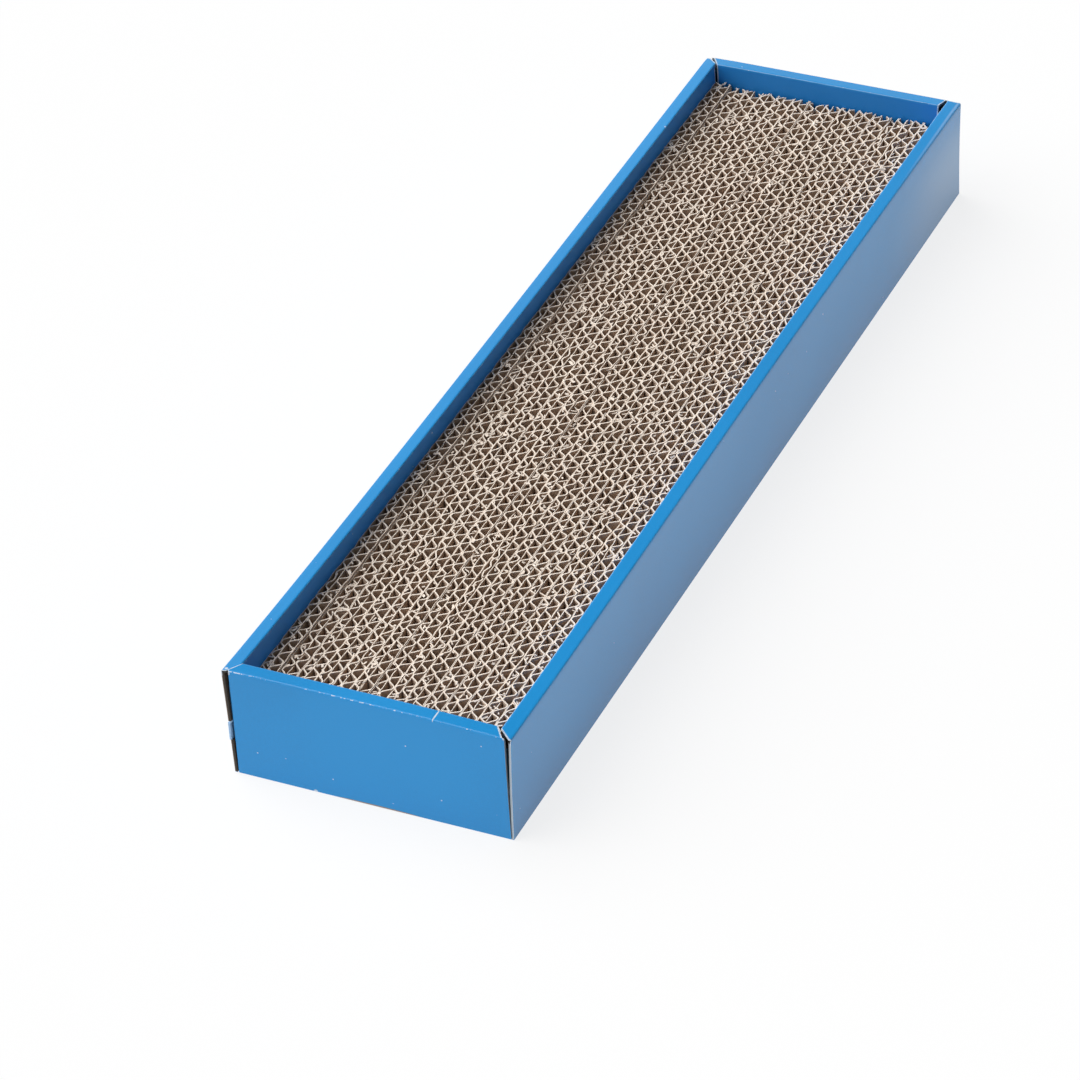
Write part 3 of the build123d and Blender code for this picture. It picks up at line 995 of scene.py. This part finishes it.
def add_sheet(bm, layers, columns, rows, line, run, paper_share, shade, block, seam_grain=None):
    """One sheet of paper on edge, whose line says where it runs, frayed and torn along its top."""
    grid = bmesh.ops.create_grid(bm, x_segments=columns, y_segments=len(rows) - 1, size=0.5)["verts"]
    top_row = len(rows) - 1
    grain = random.random() * GRAIN_RANGE
    if seam_grain is not None:
        grain = seam_grain
    start, end = run
    for vert in grid:
        row = round((vert.co.y + 0.5) * top_row)
        x, y = line(start + (end - start) * (vert.co.x + 0.5))
        z = rows[row]
        frayed_share = max(0.0, 1 - (rows[top_row] - z) / FRAY_REACH)
        bend = uneven(grain, y, BEND) + SWAY_SHARE * uneven(grain, y, SWAY)
        x += block.fray * bend * frayed_share
        if row >= top_row - 1:
            z -= block.tear * max(0.0, uneven(grain, y, TEAR) - TEAR_LIMIT)
        if row == top_row:
            z += block.uneven_top * (uneven(grain, y, CUT) - CUT_LIMIT)
        vert.co = (x, y, z)
        vert[layers["paper"]][0] = paper_share if row >= top_row - 1 else paper_share * LOWER_PAPER_SHARE
        vert[layers["shade"]] = shade


def at_least(share):
    """Random share between this one and the whole."""
    return share + (1 - share) * random.random()


def add_flake(bm, layers, place, block):
    """One torn flake of paper, curled along its length."""
    length = block.flake_length * at_least(FLAKE_LENGTH_SHARE)
    width = block.flake_width * at_least(FLAKE_WIDTH_SHARE)
    curl = length * FLAKE_CURL_SHARE * random.random()
    turn = random.random() * math.tau
    tilt = (random.random() - 0.5) * FLAKE_TILT
    shade = random.random()
    grid = bmesh.ops.create_grid(bm, x_segments=FLAKE_COLUMNS, y_segments=1, size=0.5)["verts"]
    least_side, side_range = FLAKE_SIDE_SHARES
    for vert in grid:
        along = vert.co.x
        torn_side = least_side + side_range * random.random()
        across = vert.co.y * width * (1 - FLAKE_TAPER_SHARE * abs(along)) * torn_side
        vert.co = (along * length, across, curl * (along * along - FLAKE_SAG_SHARE))
        vert[layers["paper"]][0] = FLAKE_SHARE
        vert[layers["shade"]] = shade
    placing = Matrix.Translation(place) @ Matrix.Rotation(turn, 4, "Z") @ Matrix.Rotation(tilt, 4, "X")
    bmesh.ops.transform(bm, matrix=placing, verts=grid)


def flake_place(low, high, run, top, fine_end, block):
    """Where a flake lies: mostly on the fine flutes, and more of them towards the front."""
    on_fine = random.random() < FINE_FLAKE_SHARE
    x_low, x_high = (low.x + block.liner, fine_end) if on_fine else (fine_end, high.x - block.liner)
    start, end = run
    x = x_low + (x_high - x_low) * random.random()
    y = start + (end - start) * random.random() ** FRONT_POWER
    return Vector((x, y, top - block.uneven_top * FLAKE_DEPTH_SHARE * random.random()))


def cut_strip(node, materials, block):
    """One double-wall strip on edge: three liners with fine and coarse flutes between them."""
    low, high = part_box(node)
    slide = Vector((-block.left_reach * (1 - high.x / HALF_WIDTH) / 2, 0.0, 0.0))
    low, high = low + slide, high + slide
    bm = bmesh.new()
    layers = {"paper": bm.verts.layers.deform.verify(), "shade": bm.verts.layers.float.new(SHADE)}
    start = low.y - block.end_reach[0] + random.random() * block.ragged_end
    end = high.y + block.end_reach[1] - random.random() * block.ragged_end
    run = (start, end)
    top = high.z + (random.random() + TOP_SHARE) * block.uneven_top
    if node == STRIP_NODES[0]:
        top += block.left_rise
    rows = [low.z] + [top - drop for drop in ROW_DROPS] + [top]
    liner_rows = [low.z] + [height - block.liner_drop for height in rows[1:]]
    half_liner = block.liner / 2
    fine_start = low.x + block.liner
    fine_end = fine_start + block.fine_depth
    coarse_start = fine_end + block.liner
    coarse_end = coarse_start + block.coarse_depth
    left_seam = STRIP_NODES.index(node) * SEAM_GRAIN
    for middle, paper_share, seam_grain in (
        (low.x + half_liner, OUTER_LINER_SHARE, left_seam),
        (fine_end + half_liner, MIDDLE_LINER_SHARE, None),
        (coarse_end + half_liner, OUTER_LINER_SHARE, left_seam + SEAM_GRAIN),
    ):
        line = partial(liner_place, block=block, middle=middle)
        shade = random.random() * LINER_SHADE_SHARE
        add_sheet(bm, layers, LINER_COLUMNS, liner_rows, line, run, paper_share, shade, block, seam_grain)
    for flute_start, depth, pitch, crush_share in (
        (fine_start, block.fine_depth, block.fine_pitch, FINE_CRUSH_SHARE),
        (coarse_start, block.coarse_depth, block.coarse_pitch, COARSE_CRUSH_SHARE),
    ):
        row = {
            "middle": flute_start + depth / 2,
            "reach": depth / 2 - block.edge_paper * FLUTE_ROOM_SHARE,
            "pitch": pitch,
            "phase": random.random(),
            "grain": random.random() * GRAIN_RANGE,
            "crush_share": crush_share,
        }
        columns = round((end - start) / pitch) * FLUTE_COLUMNS
        line = partial(flute_place, block=block, row=row)
        add_sheet(bm, layers, columns, rows, line, run, FLUTE_SHARE, at_least(FLUTE_SHADE_SHARE), block)
    first_flake = len(bm.faces)
    for _ in range(block.flake_count):
        add_flake(bm, layers, flake_place(low, high, run, top, fine_end, block), block)
    bm.faces.ensure_lookup_table()
    for face in bm.faces[first_flake:]:
        face.material_index = 1
    piece = add_piece(f"{node}_cut", bm, materials, BLOCK_BODY, BLOCK_SLOT, node)
    piece.vertex_groups.new(name=PAPER_GROUP)
    thicken = piece.modifiers.new("paper", "SOLIDIFY")
    thicken.thickness = block.edge_paper
    thicken.offset = 0.0
    thicken.vertex_group = PAPER_GROUP
    thicken.material_offset_rim = 1


# Marks on the walls, each with its centre, its reach and its core share


def left_nicks():
    """White torn bit where the left rim ends at the front corner."""
    x, from_front = LEFT_TEAR
    centre = (x, from_front - HALF_LENGTH, WALL_HEIGHT + BOARD)
    return [(centre, (*LEFT_TEAR_REACH, 2 * BOARD), TEAR_CORE_SHARE)]


def far_sheen():
    """Painted sheen: the print is painted paler towards the far end of the right wall, standing in for a
    reflection.
    """
    return [((HALF_WIDTH, HALF_LENGTH, WALL_HEIGHT / 2), (BOARD, *SHEEN_REACH), 0.0)]


def front_nicks():
    """White marks on the front wall: a crack over the rim, a nick in the bottom edge and a few specks."""
    rim_middle = RIM_WIDTH / 2 - HALF_LENGTH
    crack_reach = (CRACK_REACH, RIM_WIDTH * CRACK_LENGTH_SHARE, BOARD)
    corner_place = (CORNER_X, -HALF_LENGTH, WALL_HEIGHT + BOARD / 2)
    marks = [
        ((CRACK_X, rim_middle, WALL_HEIGHT + BOARD), crack_reach, CRACK_CORE_SHARE),
        ((NICK_X, -HALF_LENGTH, 0.0), (NICK_REACH, BOARD, BOARD), NICK_CORE_SHARE),
        (corner_place, (CORNER_REACH, BOARD, BOARD), TEAR_CORE_SHARE),
    ]
    for x, z in SPECK_PLACES:
        marks.append(((x, -HALF_LENGTH, z), (SPECK_REACH, BOARD, SPECK_REACH), SPECK_CORE_SHARE))
    return marks


def front_bared():
    """Stretch of the front wall's bottom edge where the print has gone."""
    return [((BARED_X, -HALF_LENGTH, 0.0), (BARED_REACH, BOARD, BOARD / 2), BARED_CORE_SHARE)]


def dress_node(node, material):
    """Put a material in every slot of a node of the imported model."""
    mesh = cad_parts[node].data
    if not mesh.materials:
        mesh.materials.append(material)
    for index in range(len(mesh.materials)):
        mesh.materials[index] = material


# Floor, lights and camera


def background_rays(tree):
    """Share of rays that show the background: straight from the camera, mirrored or passed through."""
    path = add_node(tree, "LightPath").outputs
    shown = calculate(tree, "MAXIMUM", path["Is Camera Ray"], path["Is Glossy Ray"])
    return calculate(tree, "MAXIMUM", shown, path["Is Transmission Ray"])


def lay_floor(studio):
    """White floor that keeps a faint shadow and lights the object softly from below."""
    bm = bmesh.new()
    bmesh.ops.create_circle(bm, cap_ends=True, segments=FLOOR_SEGMENTS, radius=studio.floor_size)
    mesh = bpy.data.meshes.new("floor")
    bm.to_mesh(mesh)
    bm.free()
    material, tree, shader = start_material("Studio floor")
    shown = background_rays(tree)
    shaded = Vector(studio.floor_shown) * (1 - studio.floor_glow_share)
    glow = add_scaled(tree, shown, studio.floor_glow_share - studio.floor_lift, studio.floor_lift)
    inputs = {
        "Base Color": blend_colours(tree, shown, studio.floor_bounce, shaded),
        "Emission Color": WHITE,
        "Emission Strength": glow,
        "Roughness": 1.0,
        "Specular IOR Level": 0.0,
    }
    set_inputs(tree, shader, inputs)
    mesh.materials.append(material)
    floor = bpy.data.objects.new("floor", mesh)
    floor.location.z = -studio.floor_drop
    bpy.context.scene.collection.objects.link(floor)


def hang_key_light(studio):
    """Wide soft light from the left, a little from the front."""
    light = bpy.data.lights.new("key", "SUN")
    light.angle = studio.key_angle
    light.energy = studio.key_strength
    lamp = bpy.data.objects.new("key", light)
    lamp.location = studio.key_direction
    lamp.rotation_euler = (-Vector(studio.key_direction)).to_track_quat("-Z", "Y").to_euler()
    bpy.context.scene.collection.objects.link(lamp)


def light_sky(studio):
    """Dim light from all round, and white at the horizon for the camera and for mirrored rays."""
    world = bpy.data.worlds.new("studio")
    world.use_nodes = True
    tree = world.node_tree
    upward = parts_of(tree, add_node(tree, "TexCoord").outputs["Generated"])["Z"]
    band = calculate(tree, "MULTIPLY", ramp(tree, upward, *studio.horizon_share), background_rays(tree))
    strength = add_scaled(tree, band, studio.horizon - studio.sky, studio.sky)
    set_inputs(tree, tree.nodes["Background"], {"Color": WHITE, "Strength": strength})
    bpy.context.scene.world = world


def place_camera(studio):
    """Camera at the photograph's viewing angle."""
    data = bpy.data.cameras.new("camera")
    data.lens = studio.lens
    data.sensor_width = studio.sensor
    camera = bpy.data.objects.new("camera", data)
    flat = math.cos(studio.elevation)
    back = Vector((
        math.sin(studio.azimuth) * flat, -math.cos(studio.azimuth) * flat, math.sin(studio.elevation)
    ))
    right = Vector((math.cos(studio.azimuth), math.sin(studio.azimuth), 0.0))
    axes = Matrix((right, back.cross(right), back)).transposed().to_4x4()
    place = Vector(studio.aim) + studio.distance * back
    camera.matrix_world = Matrix.Translation(place) @ axes @ Matrix.Rotation(studio.roll, 4, "Z")
    bpy.context.scene.collection.objects.link(camera)
    bpy.context.scene.camera = camera


# Operators, one for each group of like pieces and one for the stage


class SCRATCHER_OT_fold_side_walls(bpy.types.Operator):
    """Fold the two long side walls of the tray"""

    bl_idname = "scratcher.fold_side_walls"
    bl_label = "Fold Side Walls"

    def execute(self, context):
        tray = context.scene.scratcher_tray
        end_wear = (LIGHT_WEAR, HEAVY_WEAR)
        spacing = tray.side_tab_spacing
        inside = plain_board("Side wall inside", tray)
        # Painted shade: the left cut edge's liner is darkened, standing in for the shade of the corner gap
        liner = Vector(tray.plain_board) * LEFT_EDGE_PAINTED_SHADE_SHARE
        left_edge = raw_edge("Left wall cut edge", tray, liner, tray.core_and_flute_shade)
        right_edge = crushed_edge("Right wall cut edge", tray)
        left_print = printed_board(
            "Left side print", tray, HALF_LENGTH, end_wear, LEFT_CREASE_SHARES, True, left_nicks()
        )
        left_wall = wall_shape(tray.left_front_end, tray.left_rear_end, spacing, notched=True)
        fold_wall("side_wall_left", 0.0, HALF_WIDTH, HALF_LENGTH, left_wall, [left_print, inside, left_edge])
        # The right wall's print has a patch of painted sheen at its far end
        right_print = printed_board(
            "Right side print", tray, HALF_LENGTH, end_wear, RIGHT_CREASE_SHARES, True, rubbed_and_sheen=far_sheen()
        )
        right_wall = wall_shape(tray.right_rear_end, tray.right_front_end, spacing, crushed=True)
        materials = [right_print, inside, right_edge]
        fold_wall("side_wall_right", math.pi, HALF_WIDTH, HALF_LENGTH, right_wall, materials)
        return {"FINISHED"}


class SCRATCHER_OT_fold_end_walls(bpy.types.Operator):
    """Fold the two short end walls of the tray"""

    bl_idname = "scratcher.fold_end_walls"
    bl_label = "Fold End Walls"

    def execute(self, context):
        tray = context.scene.scratcher_tray
        spacing = tray.end_tab_spacing
        inside = plain_board("End wall inside", tray)
        edge = crushed_edge("End wall cut edge", tray)
        front_print = printed_board(
            "Front print", tray, HALF_WIDTH, (HEAVY_WEAR, LIGHT_WEAR), FRONT_CREASE_SHARES, False,
            front_nicks(), front_bared()
        )
        front_wall = wall_shape(tray.front_right_end, tray.front_left_end, spacing)
        materials = [front_print, inside, edge]
        fold_wall("end_wall_front", math.pi / 2, HALF_LENGTH, HALF_WIDTH, front_wall, materials)
        rear_print = printed_board(
            "Rear print", tray, HALF_WIDTH, (HEAVY_WEAR, HEAVY_WEAR), REAR_CREASE_SHARES, False
        )
        rear_wall = wall_shape(tray.rear_left_end, tray.rear_right_end, spacing)
        fold_wall("end_wall_rear", -math.pi / 2, HALF_LENGTH, HALF_WIDTH, rear_wall, [rear_print, inside, edge])
        return {"FINISHED"}


class SCRATCHER_OT_finish_base(bpy.types.Operator):
    """Give the base panel and the corner flaps their board"""

    bl_idname = "scratcher.finish_base"
    bl_label = "Finish Base and Flaps"

    def execute(self, context):
        tray = context.scene.scratcher_tray
        dress_node("base_panel", two_faced_board("Base board", tray))
        flap_board = hinge_print("Flap board", tray)
        for node in FLAP_NODES:
            dress_node(node, flap_board)
        return {"FINISHED"}


class SCRATCHER_OT_cut_strips(bpy.types.Operator):
    """Cut the corrugated strips of the scratching block"""

    bl_idname = "scratcher.cut_strips"
    bl_label = "Cut Corrugated Strips"

    def execute(self, context):
        block = context.scene.scratcher_block
        random.seed(block.seed)
        materials = [corrugated_paper("Corrugated paper", block), cut_paper("Cut paper edge", block)]
        for node in STRIP_NODES:
            cut_strip(node, materials, block)
        return {"FINISHED"}


class SCRATCHER_OT_set_studio(bpy.types.Operator):
    """Set the floor, the lights and the camera"""

    bl_idname = "scratcher.set_studio"
    bl_label = "Set Studio"

    def execute(self, context):
        studio = context.scene.scratcher_studio
        lay_floor(studio)
        hang_key_light(studio)
        light_sky(studio)
        place_camera(studio)
        context.scene.view_settings.view_transform = "Standard"
        return {"FINISHED"}


class SCRATCHER_PT_panel(bpy.types.Panel):
    """Steps and settings of the scratcher"""

    bl_idname = "SCRATCHER_PT_panel"
    bl_label = "Cardboard Cat Scratcher"
    bl_space_type = "VIEW_3D"
    bl_region_type = "UI"
    bl_category = "Scratcher"

    def draw(self, context):
        for operator in OPERATORS:
            self.layout.operator(operator.bl_idname)
        for name, settings in SETTINGS.items():
            box = self.layout.box()
            group = getattr(context.scene, name)
            for field in settings.__annotations__:
                box.prop(group, field)


OPERATORS = (
    SCRATCHER_OT_fold_side_walls,
    SCRATCHER_OT_fold_end_walls,
    SCRATCHER_OT_finish_base,
    SCRATCHER_OT_cut_strips,
    SCRATCHER_OT_set_studio,
)
SETTINGS = {
    "scratcher_tray": TraySettings,
    "scratcher_block": BlockSettings,
    "scratcher_studio": StudioSettings,
}


def register():
    """Register the settings, the operators and the panel."""
    for name, settings in SETTINGS.items():
        bpy.utils.register_class(settings)
        setattr(bpy.types.Scene, name, PointerProperty(type=settings))
    for operator in OPERATORS:
        bpy.utils.register_class(operator)
    bpy.utils.register_class(SCRATCHER_PT_panel)


def unregister():
    """Take the panel, the operators and the settings away again."""
    bpy.utils.unregister_class(SCRATCHER_PT_panel)
    for operator in reversed(OPERATORS):
        bpy.utils.unregister_class(operator)
    for name, settings in reversed(SETTINGS.items()):
        delattr(bpy.types.Scene, name)
        bpy.utils.unregister_class(settings)


def main():
    """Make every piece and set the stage."""
    register()
    bpy.ops.scratcher.fold_side_walls()
    bpy.ops.scratcher.fold_end_walls()
    bpy.ops.scratcher.finish_base()
    bpy.ops.scratcher.cut_strips()
    bpy.ops.scratcher.set_studio()


if __name__ == "__main__":
    main()
